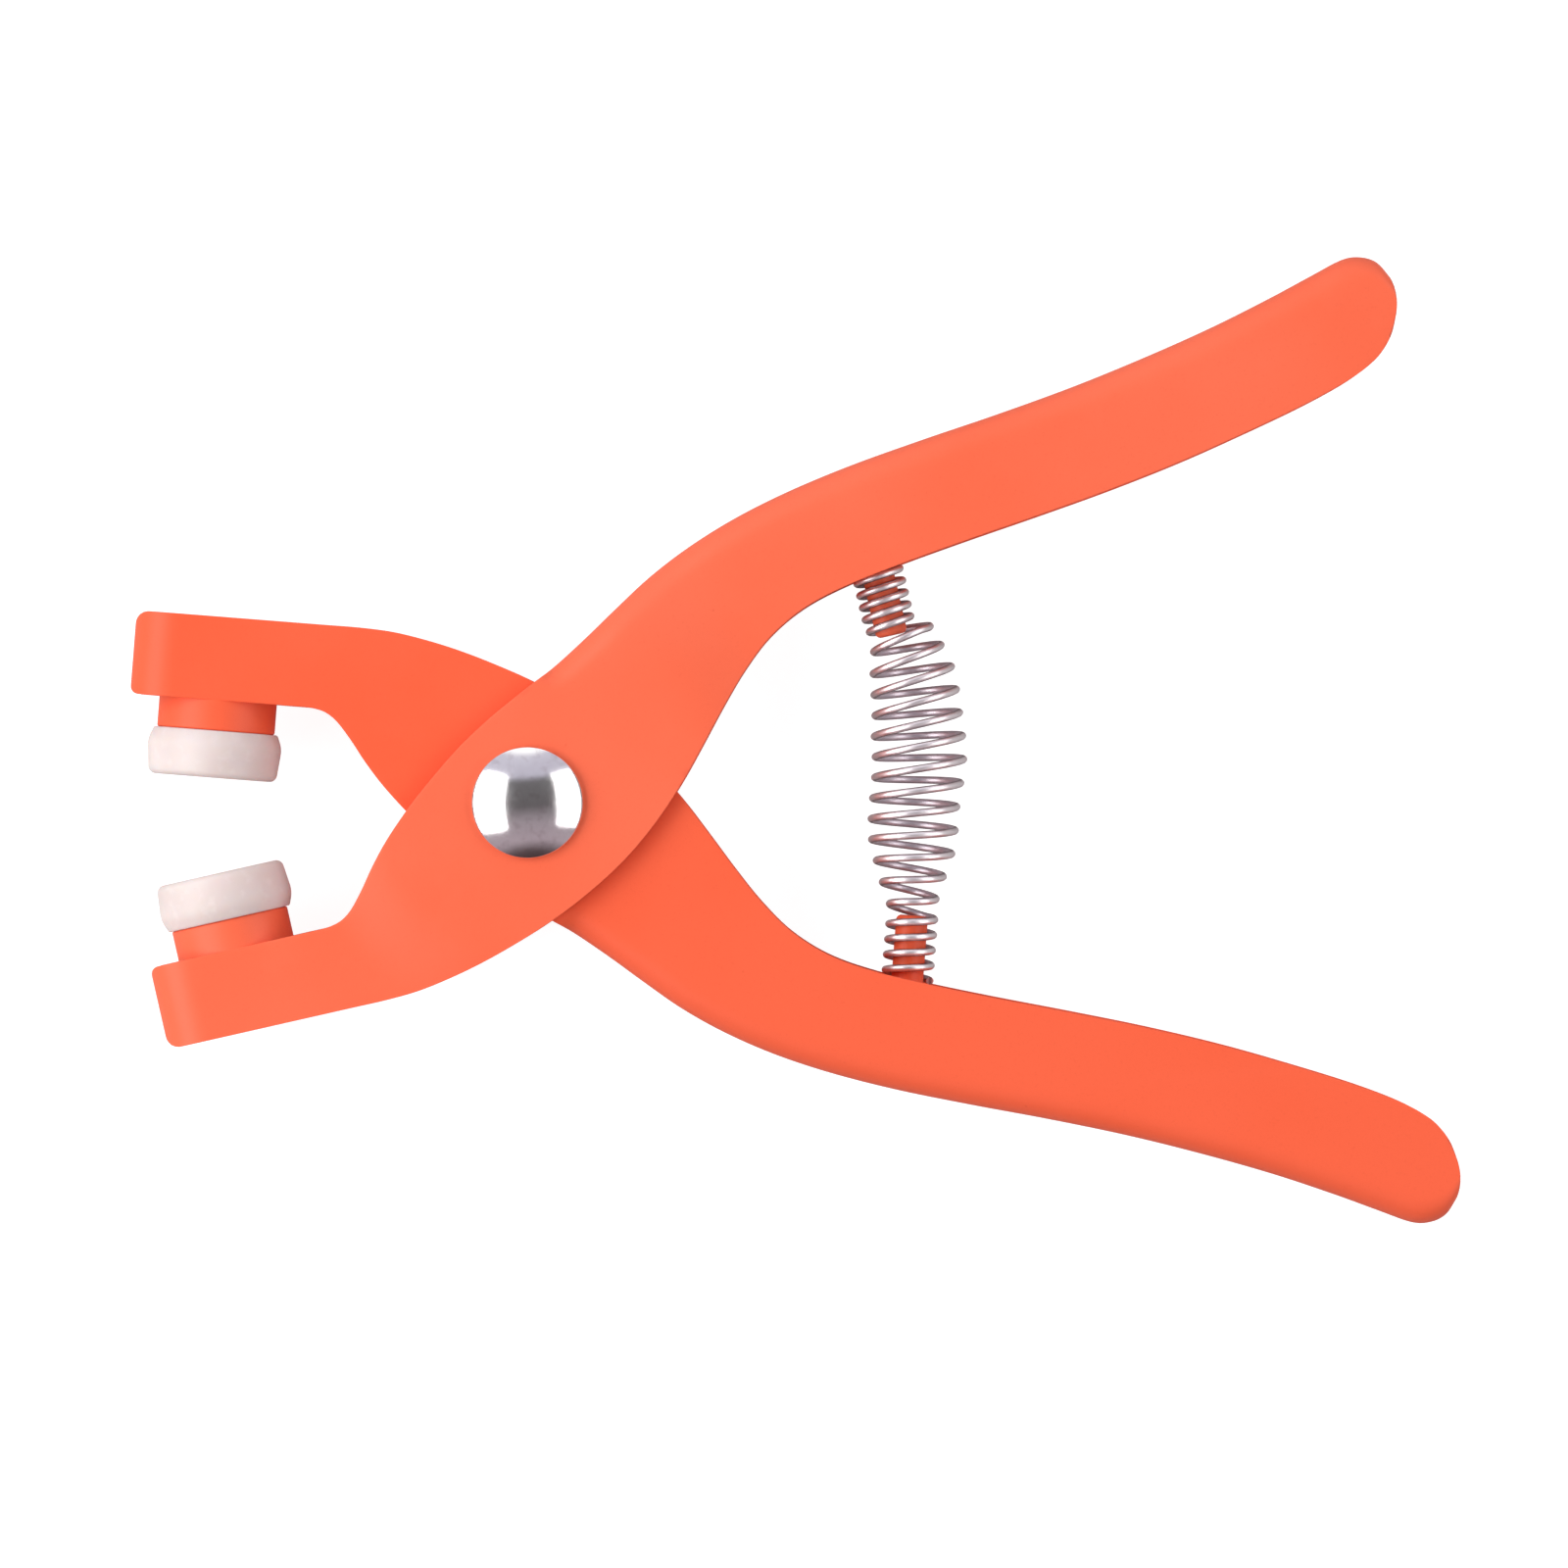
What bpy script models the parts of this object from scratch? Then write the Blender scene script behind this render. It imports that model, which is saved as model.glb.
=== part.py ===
"""Snap setter pliers: two pressed-steel levers on one rivet, two nylon dies and a barrel spring.

The pliers lie flat and open. +Z is the pivot axis, +X runs along the centre line to the handle ends,
and +Y points to the front lever's handle. The origin is on the pivot axis, on the flat back face of
the rivet's tail.

Both levers share one outline. It is written in the lever's own frame, in which the pliers are closed:
the jaw points to -X and lies above the X axis, the handle runs to +X below it, and the die's face lies
on the X axis. The rear lever is that shape opened clockwise, the front lever its mirror image opened
the other way.
"""

import math

import bmesh
import bpy
from mathutils import Vector

# Driving dimensions. Lengths are in millimetres, angles in degrees.
MM = 0.001
GAP = 0.3                      # air between pieces that touch
SHEET = 1.5                    # thickness of the pressed steel
HALF_OPEN = 8.65               # each lever's turn from closed to open
CHANNEL_HALF = 7.0             # half the outer width of a lever
RUNNING_GAP = 0.35             # air between the levers' walls at the pivot
SWELL_HALF = CHANNEL_HALF + RUNNING_GAP + SHEET
SPINE_BEND = 3.0               # outer bend radius along the handle's back
NOSE_BEND = 5.0                # outer bend radius at the jaw's tip
SEAM_HALF = 0.15               # half the butt seam at the jaw's tip

# The front lever's swell reaches full width inside the first radius and ends at the second.
SWELL_JAW_RADII = (17.3, 27.0)
SWELL_HANDLE_RADII = (21.0, 34.0)

NOSE_X = -48.2
JAW_TOP = 19.1
JAW_BOTTOM = 9.2
NOSE_TOP_CORNER = 1.6
NOSE_BOTTOM_CORNER = 1.0

# Across the lever, from its upper edge to its lower one, from the jaw to the handle's end.
STATIONS = (
    ((NOSE_X + NOSE_BEND, JAW_TOP), (NOSE_X + NOSE_BEND, JAW_BOTTOM)),
    ((-37.5, JAW_TOP), (-37.5, JAW_BOTTOM)),
    ((-30.5, JAW_TOP), (-30.0, JAW_BOTTOM)),
    ((-25.5, 19.1), (-26.0, 9.1)),
    ((-21.5, 19.1), (-23.8, 8.2)),
    ((-17.6, 18.9), (-21.7, 6.0)),
    ((-13.8, 18.3), (-19.6, 3.3)),
    ((-9.8, 17.4), (-17.2, 0.6)),
    ((-5.4, 16.1), (-14.0, -2.4)),
    ((-0.6, 14.4), (-10.4, -5.3)),
    ((4.5, 12.1), (-6.4, -8.2)),
    ((9.6, 9.2), (-2.2, -10.7)),
    ((14.2, 5.7), (2.2, -12.9)),
    ((18.2, 1.9), (6.6, -15.0)),
    ((21.8, -2.1), (11.0, -17.5)),
    ((25.2, -6.0), (15.4, -20.2)),
    ((28.6, -9.6), (20.0, -22.9)),
    ((32.4, -12.8), (25.2, -25.3)),
    ((37.0, -15.2), (31.2, -27.4)),
    ((42.5, -16.7), (38.0, -29.1)),
    ((49.5, -17.8), (46.0, -30.5)),
    ((57.5, -18.8), (55.0, -31.6)),
    ((66.5, -19.8), (64.5, -32.6)),
    ((75.5, -20.9), (74.0, -33.8)),
    ((84.5, -22.3), (83.0, -35.3)),
    ((93.0, -24.0), (91.5, -37.0)),
    ((100.5, -25.7), (98.8, -38.8)),
    ((106.0, -27.3), (104.2, -40.3)),
    ((109.1, -28.7), (108.3, -41.4)),
    ((110.8, -30.0), (110.6, -41.2)),
    ((112.1, -31.6), (112.3, -40.2)),
    ((113.1, -33.7), (113.3, -38.4)),
)
SPINE_START = 5.6              # x of the lower edge from which the handle's back is closed
MOST_BEND = 0.8                # the largest share of a section's height that its bend takes
STEPS_PER_SPAN = 2
NOSE_STEPS = 4
BEND_STEPS = 3
FRONT_WALL_STEPS = 5           # across a side: the front lever's swells, the rear lever's is flat
REAR_WALL_STEPS = 1

# Dies and their posts, along the jaw's own up and down. The die's face is at zero.
DIE_X = -37.8
DIE_HEIGHT = 5.6
DIE_FACE_R = 7.6
DIE_FLARE_R = 8.0
DIE_FLARE_AT = 4.3
DIE_BASE_R = 7.35
DIE_RECESS_R = 5.2
DIE_RECESS_DEPTH = 0.8
DIE_DIMPLE_R = 1.4
DIE_DIMPLE_DEPTH = 0.5
DIE_BORE_R = 3.3
DIE_BORE_DEPTH = 3.8
POST_R = 7.0
POST_SHANK_R = CHANNEL_HALF - SHEET - GAP
POST_TOP = 17.6
POST_SPIGOT_LENGTH = 3.4
POST_SPIGOT_R = DIE_BORE_R - GAP
EDGE = 0.4                     # chamfer on turned edges
TURNED_SEGMENTS = 36
RING_SEGMENTS = 32
PEG_SEGMENTS = 20

# The pivot stack, from the back.
TAIL_THICKNESS = 1.6
TAIL_R = 5.2
WASHER_THICKNESS = 1.0
WASHER_R = 6.2
MID_Z = TAIL_THICKNESS + GAP + WASHER_THICKNESS + GAP + SWELL_HALF
SHANK_R = 3.2
HOLE_R = SHANK_R + GAP
SPACER_R = 4.9
DOME_R = 6.6
DOME_RIM = 0.5
DOME_HEIGHT = 2.7
DOME_STEPS = 6

# Spring and its pegs. The seat is where the peg leaves the handle, in the lever's frame.
SEAT = (46.5, -17.4)
PEG_R = 1.9
PEG_LENGTH = 7.6
PEG_TIP = 0.7
PLATE_LENGTH = 9.0
PLATE_THICKNESS = 1.5
PLATE_DROP = 0.7
WIRE_R = 0.45
SPRING_BOW = 1.5
# Turns of wire and the share of the spring's length they take: lower end, barrel, upper end.
SPRING_TURNS = ((4.0, 0.150), (13.0, 0.700), (5.0, 0.150))
# The coil's radius against the share of the length, from the lower seat up.
SPRING_RADII = ((0.0, 2.7), (0.16, 2.7), (0.36, 5.0), (0.56, 5.3), (0.72, 4.9), (0.84, 3.8),
                (0.875, 2.7), (1.0, 2.7))
# How far the coils sit to +X of the centre line, against the same share.
SPRING_LEAN = ((0.0, 0.0), (0.15, 0.0), (0.24, -0.7), (0.38, -0.75), (0.57, 0.45), (0.74, 1.1),
               (0.84, 1.25), (0.88, 0.0), (1.0, 0.0))
SPRING_STEPS_PER_TURN = 11
SHARE_NUDGE = 0.002            # how far either side the spring's direction is measured

ORANGE = (0.965, 0.150, 0.072)
NYLON = (0.880, 0.850, 0.835)
NICKEL = (0.780, 0.765, 0.760)
STEEL = (0.620, 0.600, 0.600)


# ---- placing ----

def rear_place(x, y, z):
    """A point of the lever's frame on the open rear lever."""
    turn = math.radians(-HALF_OPEN)
    return Vector((x * math.cos(turn) - y * math.sin(turn), x * math.sin(turn) + y * math.cos(turn), z))


def front_place(x, y, z):
    """The same point on the front lever, the rear lever's mirror image."""
    mirrored = rear_place(x, y, z)
    return Vector((mirrored.x, -mirrored.y, mirrored.z))


# ---- objects and materials ----

def clear_scene():
    for obj in list(bpy.data.objects):
        bpy.data.objects.remove(obj, do_unlink=True)


def finish_of(name, colour, roughness, metallic):
    material = bpy.data.materials.new(name)
    material.use_nodes = True
    shader = material.node_tree.nodes["Principled BSDF"]
    shader.inputs["Base Color"].default_value = (*colour, 1.0)
    shader.inputs["Roughness"].default_value = roughness
    shader.inputs["Metallic"].default_value = metallic
    return material


def add_object(name, points, faces, material):
    """A mesh object whose points are given in millimetres."""
    mesh = bpy.data.meshes.new(name)
    mesh.from_pydata([Vector(point) * MM for point in points], [], faces)
    obj = bpy.data.objects.new(name, mesh)
    bpy.context.collection.objects.link(obj)
    if material:
        mesh.materials.append(material)
    return obj


def shade_round(obj, crease_degrees=35.0):
    obj.data.shade_smooth()
    obj.data.set_sharp_from_angle(angle=math.radians(crease_degrees))


def face_outwards(obj):
    shape = bmesh.new()
    shape.from_mesh(obj.data)
    bmesh.ops.recalc_face_normals(shape, faces=shape.faces)
    shape.to_mesh(obj.data)
    shape.free()


def add_turned(name, profile, segments, place, material):
    """A solid turned from (radius, height) points, closed on its axis where the radius is zero."""
    points = []
    rings = []
    for radius, height in profile:
        if radius == 0:
            rings.append([len(points)] * segments)
            points.append(place(0, 0, height))
            continue
        ring = []
        for step in range(segments):
            angle = 2 * math.pi * step / segments
            ring.append(len(points))
            points.append(place(radius * math.cos(angle), radius * math.sin(angle), height))
        rings.append(ring)
    faces = []
    for lower, upper in zip(rings, rings[1:] + rings[:1]):
        for step in range(segments):
            after = (step + 1) % segments
            corners = (lower[step], lower[after], upper[after], upper[step])
            face = list(dict.fromkeys(corners))
            if len(face) > 2:
                faces.append(face)
    obj = add_object(name, points, faces, material)
    face_outwards(obj)
    shade_round(obj)
    return obj


def add_boolean(obj, other, operation):
    modifier = obj.modifiers.new(operation.title(), "BOOLEAN")
    modifier.operation = operation
    modifier.solver = "EXACT"
    modifier.object = other
    other.hide_render = True
    other.display_type = "WIRE"


# ---- levers ----

def smooth_between(before, start, end, after, share):
    """A point on the smooth curve through a row of points, between start and end."""
    square = share * share
    cube = square * share
    return tuple(
        0.5 * (2 * b + (c - a) * share + (2 * a - 5 * b + 4 * c - d) * square
               + (3 * b - a - 3 * c + d) * cube)
        for a, b, c, d in zip(before, start, end, after)
    )


def smooth_row(row, steps):
    """The row's points with steps - 1 more points of a smooth curve in each span."""
    padded = [row[0], *row, row[-1]]
    found = []
    for index in range(len(row) - 1):
        for step in range(steps):
            found.append(smooth_between(*padded[index:index + 4], step / steps))
    found.append(row[-1])
    return found


def swell_half(x, y):
    """Half the front lever's outer width at a point of its side."""
    full, none = SWELL_JAW_RADII if x < 0 else SWELL_HANDLE_RADII
    share = (none - math.hypot(x, y)) / (none - full)
    share = min(1.0, max(0.0, share))
    eased = share * share * (3 - 2 * share)
    return CHANNEL_HALF + eased * (SWELL_HALF - CHANNEL_HALF)


def plain_half(x, y):
    return CHANNEL_HALF


def corner_inset(distance, radius):
    """How far a round corner of this radius falls short of the square one."""
    if distance >= radius:
        return 0.0
    return radius - math.sqrt(radius * radius - (radius - distance) ** 2)


def nose_columns():
    """(upper point, lower point, depth below the side) round the jaw's tip, from the seam on."""
    depths = [(NOSE_X, CHANNEL_HALF - SEAM_HALF)]
    for step in range(NOSE_STEPS):
        angle = math.pi / 2 * (1 - step / NOSE_STEPS)
        depths.append((NOSE_X + NOSE_BEND * (1 - math.sin(angle)), NOSE_BEND * (1 - math.cos(angle))))
    columns = []
    for x, depth in depths:
        top = JAW_TOP - corner_inset(x - NOSE_X, NOSE_TOP_CORNER)
        bottom = JAW_BOTTOM + corner_inset(x - NOSE_X, NOSE_BOTTOM_CORNER)
        columns.append(((x, top), (x, bottom), depth))
    return columns


def side_columns():
    upper = smooth_row([station[0] for station in STATIONS], STEPS_PER_SPAN)
    lower = smooth_row([station[1] for station in STATIONS], STEPS_PER_SPAN)
    return [(top, bottom, 0.0) for top, bottom in zip(upper, lower)]


def side_points(column, wall_steps, half_width, has_spine):
    """The front side's points across one column, from its upper edge to the middle of the spine."""
    top, bottom, depth = column
    length = math.dist(top, bottom)
    bend = min(SPINE_BEND, MOST_BEND * length)
    offsets = [length + (bend - length) * step / wall_steps for step in range(wall_steps)]
    drops = [0.0] * wall_steps
    for step in range(BEND_STEPS + 1):
        angle = math.pi / 2 * step / BEND_STEPS
        offsets.append(bend * (1 - math.sin(angle)))
        drops.append(bend * (1 - math.cos(angle)) if has_spine else 0.0)
    points = []
    for offset, drop in zip(offsets, drops):
        share = offset / length
        x = bottom[0] + (top[0] - bottom[0]) * share
        y = bottom[1] + (top[1] - bottom[1]) * share
        points.append((x, y, half_width(x, y) - depth - drop))
    return points


def add_lever(name, wall_steps, half_width, place, mirrored, material):
    """A channel of bent sheet: two sides, a closed back along the handle and a bent-in nose."""
    columns = nose_columns() + side_columns()
    spine = [column[1][0] > SPINE_START for column in columns]
    points = []
    for column, has_spine in zip(columns, spine):
        row = side_points(column, wall_steps, half_width, has_spine)
        back = [(x, y, -z) for x, y, z in reversed(row)]
        points.extend(place(x, y, MID_Z + z) for x, y, z in row + back)
    side = wall_steps + BEND_STEPS + 1
    width = 2 * side
    faces = []
    for column in range(len(columns) - 1):
        for row in range(width - 1):
            bridges_spine = row == side - 1
            if bridges_spine and not (spine[column] and spine[column + 1]):
                continue
            start = column * width + row
            face = [start, start + 1, start + width + 1, start + width]
            faces.append(face[::-1] if mirrored else face)
    obj = add_object(name, points, faces, material)
    shade_round(obj)
    sheet = obj.modifiers.new("Sheet", "SOLIDIFY")
    sheet.thickness = SHEET * MM
    sheet.offset = -1
    sheet.use_even_offset = True
    sheet.use_rim = True
    return obj


def add_pivot_hole(lever):
    def place(x, y, z):
        return Vector((x, y, z))
    reach = 2 * SWELL_HALF
    profile = ((0, MID_Z + reach), (HOLE_R, MID_Z + reach), (HOLE_R, MID_Z - reach), (0, MID_Z - reach))
    cutter = add_turned("hole_in_" + lever.name, profile, RING_SEGMENTS, place, None)
    add_boolean(lever, cutter, "DIFFERENCE")


# ---- pivot ----

def add_pivot(nickel, steel):
    def place(x, y, z):
        return Vector((x, y, z))
    head = MID_Z + SWELL_HALF + GAP
    rim = head + DOME_RIM
    crown = DOME_HEIGHT - DOME_RIM
    ball = (DOME_R ** 2 + crown ** 2) / (2 * crown)
    spread = math.asin(DOME_R / ball)
    profile = [(0, 0), (TAIL_R - EDGE, 0), (TAIL_R, EDGE), (TAIL_R, TAIL_THICKNESS),
               (SHANK_R, TAIL_THICKNESS), (SHANK_R, head), (DOME_R, head)]
    for step in range(DOME_STEPS):
        angle = spread * (1 - step / DOME_STEPS)
        profile.append((ball * math.sin(angle), rim + crown - ball * (1 - math.cos(angle))))
    profile.append((0, rim + crown))
    add_turned("pivot_rivet", profile, TURNED_SEGMENTS, place, nickel)

    low = TAIL_THICKNESS + GAP
    high = low + WASHER_THICKNESS
    ring = [(HOLE_R, low), (WASHER_R, low), (WASHER_R, high), (HOLE_R, high)]
    add_turned("pivot_washer", ring, RING_SEGMENTS, place, steel)

    reach = CHANNEL_HALF - SHEET - GAP
    tube = [(HOLE_R, MID_Z - reach), (SPACER_R, MID_Z - reach), (SPACER_R, MID_Z + reach),
            (HOLE_R, MID_Z + reach)]
    add_turned("pivot_spacer", tube, RING_SEGMENTS, place, steel)


# ---- dies and posts ----

def die_place(place):
    """Turned heights become the jaw's own up, on the die's axis."""
    return lambda x, y, height: place(DIE_X + x, height, MID_Z + y)


def add_post(name, place, material):
    face = DIE_HEIGHT + GAP
    shoulder = JAW_BOTTOM - GAP
    profile = [(0, face - POST_SPIGOT_LENGTH), (POST_SPIGOT_R - EDGE, face - POST_SPIGOT_LENGTH),
               (POST_SPIGOT_R, face - POST_SPIGOT_LENGTH + EDGE), (POST_SPIGOT_R, face), (POST_R, face),
               (POST_R, shoulder), (POST_SHANK_R, shoulder), (POST_SHANK_R, POST_TOP - EDGE),
               (POST_SHANK_R - EDGE, POST_TOP), (0, POST_TOP)]
    return add_turned(name, profile, TURNED_SEGMENTS, die_place(place), material)


def add_die(name, place, material):
    bore_end = DIE_HEIGHT - DIE_BORE_DEPTH
    dimple = DIE_RECESS_DEPTH + DIE_DIMPLE_DEPTH
    profile = [(0, dimple), (DIE_DIMPLE_R, DIE_RECESS_DEPTH), (DIE_RECESS_R - EDGE, DIE_RECESS_DEPTH),
               (DIE_RECESS_R, 0), (DIE_FACE_R - EDGE, 0), (DIE_FACE_R, EDGE),
               (DIE_FLARE_R, DIE_FLARE_AT), (DIE_FLARE_R - EDGE, DIE_FLARE_AT + EDGE),
               (DIE_BASE_R, DIE_HEIGHT), (DIE_BORE_R, DIE_HEIGHT), (DIE_BORE_R, bore_end), (0, bore_end)]
    return add_turned(name, profile, TURNED_SEGMENTS, die_place(place), material)


# ---- spring and pegs ----

def add_peg(name, place, material):
    """A round peg on a small plate that sits between the handle's walls."""
    seat_x, seat_y = SEAT
    top = seat_y - PLATE_DROP
    bottom = top - PLATE_THICKNESS
    half_z = CHANNEL_HALF - SHEET - GAP
    half_x = PLATE_LENGTH / 2
    corners = []
    for x in (seat_x - half_x, seat_x + half_x):
        for y in (bottom, top):
            for z in (MID_Z - half_z, MID_Z + half_z):
                corners.append(place(x, y, z))
    faces = [(0, 1, 3, 2), (4, 6, 7, 5), (0, 4, 5, 1), (2, 3, 7, 6), (0, 2, 6, 4), (1, 5, 7, 3)]
    plate = add_object(name, corners, faces, material)
    face_outwards(plate)

    def peg_place(x, y, height):
        return place(seat_x + x, height, MID_Z + y)
    tip = seat_y + PEG_LENGTH
    foot = (top + bottom) / 2
    profile = [(0, foot), (PEG_R, foot), (PEG_R, tip - PEG_TIP), (PEG_R - PEG_TIP, tip), (0, tip)]
    peg = add_turned(name + "_pin", profile, PEG_SEGMENTS, peg_place, material)
    add_boolean(plate, peg, "UNION")
    return plate


def between(table, share):
    """Reads a table of (share, value) points, easing from one value to the next."""
    for (start, low), (end, high) in zip(table, table[1:]):
        if share <= end:
            part = (share - start) / (end - start)
            eased = part * part * (3 - 2 * part)
            return low + (high - low) * eased
    return table[-1][1]


def spring_axis(share):
    """The spring's centre line from the lower seat to the upper: straight on each peg, bowed between."""
    seat_x, seat_y = SEAT
    start = rear_place(seat_x, seat_y, MID_Z)
    up = rear_place(0, 1, 0)
    tip = start + up * PEG_LENGTH
    chord = -2 * tip.y
    reach = chord * SPRING_BOW
    share_on_peg = PEG_LENGTH / (2 * PEG_LENGTH + chord)
    if share < share_on_peg:
        return start + up * PEG_LENGTH * share / share_on_peg
    if share > 1 - share_on_peg:
        mirrored = spring_axis(1 - share)
        return Vector((mirrored.x, -mirrored.y, mirrored.z))
    part = (share - share_on_peg) / (1 - 2 * share_on_peg)
    bow = reach * up.x * part * (1 - part)
    return Vector((tip.x + bow, tip.y + chord * part, MID_Z))


def add_spring(material):
    turns_done = 0.0
    share_done = 0.0
    points = []
    for turns, length in SPRING_TURNS:
        steps = round(turns * SPRING_STEPS_PER_TURN)
        for step in range(steps):
            share = share_done + length * step / steps
            angle = 2 * math.pi * (turns_done + turns * step / steps)
            points.append((share, angle))
        turns_done += turns
        share_done += length
    points.append((1.0, 2 * math.pi * turns_done))

    curve = bpy.data.curves.new("return_spring", "CURVE")
    curve.dimensions = "3D"
    curve.bevel_depth = WIRE_R * MM
    curve.bevel_resolution = 1
    curve.use_fill_caps = True
    spline = curve.splines.new("POLY")
    spline.points.add(len(points) - 1)
    for point, (share, angle) in zip(spline.points, points):
        before = spring_axis(max(0.0, share - SHARE_NUDGE))
        after = spring_axis(min(1.0, share + SHARE_NUDGE))
        along = (after - before).normalized()
        across = Vector((along.y, -along.x, 0))
        radius = between(SPRING_RADII, share)
        offset = (across * math.cos(angle) - Vector((0, 0, 1)) * math.sin(angle)) * radius
        lean = Vector((between(SPRING_LEAN, share), 0, 0))
        place = (spring_axis(share) + lean + offset) * MM
        point.co = (*place, 1.0)
    spring = bpy.data.objects.new("return_spring", curve)
    bpy.context.collection.objects.link(spring)
    curve.materials.append(material)


def main():
    clear_scene()
    orange = finish_of("orange_powder_coat", ORANGE, 0.42, 0.0)
    nylon = finish_of("white_nylon", NYLON, 0.38, 0.0)
    nickel = finish_of("polished_nickel", NICKEL, 0.16, 1.0)
    steel = finish_of("zinc_plated_steel", STEEL, 0.32, 1.0)

    front = add_lever("front_lever", FRONT_WALL_STEPS, swell_half, front_place, True, orange)
    rear = add_lever("rear_lever", REAR_WALL_STEPS, plain_half, rear_place, False, orange)
    add_pivot_hole(front)
    add_pivot_hole(rear)
    add_pivot(nickel, steel)
    add_post("upper_die_post", rear_place, orange)
    add_post("lower_die_post", front_place, orange)
    add_die("upper_die", rear_place, nylon)
    add_die("lower_die", front_place, nylon)
    add_peg("upper_spring_peg", front_place, orange)
    add_peg("lower_spring_peg", rear_place, orange)
    add_spring(steel)


main()
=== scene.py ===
"""Snap setter pliers: the pressed levers, turned parts and barrel spring in their finished shapes.

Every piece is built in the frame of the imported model: +Z is the pivot axis, +X runs to the handle
ends, and +Y points to the front lever's handle. Both levers share one outline, written in the lever's
own frame, in which the pliers are closed: the jaw points to -X above the X axis, and the handle runs
to +X below it. The rear lever is that shape opened clockwise, the front lever its mirror image.
"""

import math

import bmesh
import bpy
from mathutils import Matrix
from mathutils import Vector


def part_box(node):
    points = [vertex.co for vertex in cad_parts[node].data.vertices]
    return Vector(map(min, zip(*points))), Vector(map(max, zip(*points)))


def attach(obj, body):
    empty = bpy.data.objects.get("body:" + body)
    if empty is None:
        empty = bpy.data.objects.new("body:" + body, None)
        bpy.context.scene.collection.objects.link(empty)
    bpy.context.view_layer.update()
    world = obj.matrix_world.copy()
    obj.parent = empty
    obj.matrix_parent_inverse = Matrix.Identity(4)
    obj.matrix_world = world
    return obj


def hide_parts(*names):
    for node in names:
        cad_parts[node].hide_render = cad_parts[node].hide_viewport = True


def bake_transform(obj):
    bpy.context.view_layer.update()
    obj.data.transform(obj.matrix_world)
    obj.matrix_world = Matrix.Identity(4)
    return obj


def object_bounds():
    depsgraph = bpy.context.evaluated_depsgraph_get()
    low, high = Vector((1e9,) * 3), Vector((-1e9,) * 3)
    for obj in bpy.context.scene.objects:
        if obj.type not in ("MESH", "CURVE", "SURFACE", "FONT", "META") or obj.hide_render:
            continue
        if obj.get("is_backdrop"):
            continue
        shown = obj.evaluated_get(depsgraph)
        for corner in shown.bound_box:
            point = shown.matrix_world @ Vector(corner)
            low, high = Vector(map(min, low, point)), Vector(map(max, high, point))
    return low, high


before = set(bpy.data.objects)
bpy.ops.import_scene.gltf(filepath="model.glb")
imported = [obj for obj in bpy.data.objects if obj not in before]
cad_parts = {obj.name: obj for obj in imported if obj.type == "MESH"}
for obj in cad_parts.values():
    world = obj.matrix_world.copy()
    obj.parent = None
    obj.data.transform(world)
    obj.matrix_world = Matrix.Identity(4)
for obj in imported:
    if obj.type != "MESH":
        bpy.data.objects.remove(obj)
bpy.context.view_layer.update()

MM = 0.001
FRONT_BODY = "front_lever_body"
REAR_BODY = "rear_lever_body"

rear_low, rear_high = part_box("rear_lever")
front_low, front_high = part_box("front_lever")
rivet_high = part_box("pivot_rivet")[1]
washer_low, washer_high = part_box("pivot_washer")
spacer_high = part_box("pivot_spacer")[1]

# ---- sizes: lengths in millimetres, angles in degrees ----
# A corner of a turned piece is written (radius, height, fillet).

MID_Z = (rear_low.z + rear_high.z) / 2 / MM
CHANNEL_HALF = (rear_high.z - rear_low.z) / 2 / MM
SWELL_HALF = (front_high.z - front_low.z) / 2 / MM
GAP = 0.3
SHEET = 1.5
EDGE_ROUND = 0.3               # on the sheet's cut edges
ROUND_STEPS = 3                # across each of them
SHARP_EDGE = 50.0              # edges that turn by more than this are rounded
ROUNDED_REACH = 116.0          # but only those nearer the pivot than this
HALF_OPEN = 8.65               # each lever's turn from closed to open
SPINE_BEND = 3.0
NOSE_BEND = 5.0
SEAM_HALF = 0.1
SWELL_JAW_RADII = (17.3, 27.0)
SWELL_HANDLE_RADII = (21.0, 34.0)

NOSE_X = -48.2
JAW_TOP = 19.1
JAW_BOTTOM = 9.2
NOSE_TOP_CORNER = 1.6
NOSE_BOTTOM_CORNER = 1.0

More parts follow.
